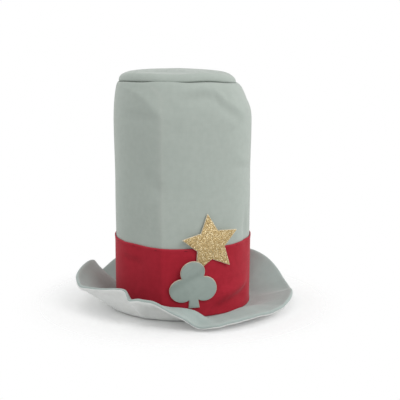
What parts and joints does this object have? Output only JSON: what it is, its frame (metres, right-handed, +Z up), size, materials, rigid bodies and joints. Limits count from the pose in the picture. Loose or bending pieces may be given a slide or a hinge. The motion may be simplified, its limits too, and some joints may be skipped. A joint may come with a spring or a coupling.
{
  "type": "top hat",
  "caption": "Soft sewn dress-up top hat: tall cloth crown with a slumped tip that pushes down, wavy turned-up brim, red band, flat star and club patches, lined head opening.",
  "frame": {"origin": "centre of the head opening, on the surface that the hat stands on", "axes": "+Z up through the crown, -Y out of the front with the club and the star, +X to the right as seen from the front"},
  "size_m": [0.299, 0.2822, 0.3198],
  "materials": {
    "hat_cloth": "brushed sage grey-green cloth",
    "under_cloth": "near-white cloth",
    "stiff_felt": "pressed felt",
    "band_cloth": "red felt",
    "lining": "thin lining cloth",
    "sweatband": "grosgrain ribbon",
    "foam": "open foam sheet",
    "patch_foam": "pale stiff foam",
    "glitter_sheet": "gold glitter",
    "club_felt": "sage felt",
    "glue": "set hot glue"
  },
  "bodies": {
    "hat_base": {"sweatband": "sweatband", "brim_under": "under_cloth", "brim_felt": "stiff_felt", "brim_upper": "hat_cloth", "crown_lining": "lining", "crown_foam": "foam", "crown_side": "hat_cloth", "hat_band": "band_cloth", "star_back": "patch_foam", "star_face": "glitter_sheet", "star_glue": "glue", "club_back": "patch_foam", "club_face": "club_felt", "club_glue": "glue"},
    "crown_top": {"crown_tip": "hat_cloth", "tip_padding": "foam", "tip_lining": "lining"}
  },
  "joints": [
    {"name": "crown_collapse", "type": "slide", "parent": "hat_base", "child": "crown_top", "axis": [0, 0, -1], "range_m": [0, 0.09], "deforming": ["crown_side", "crown_foam", "crown_lining"]}
  ]
}
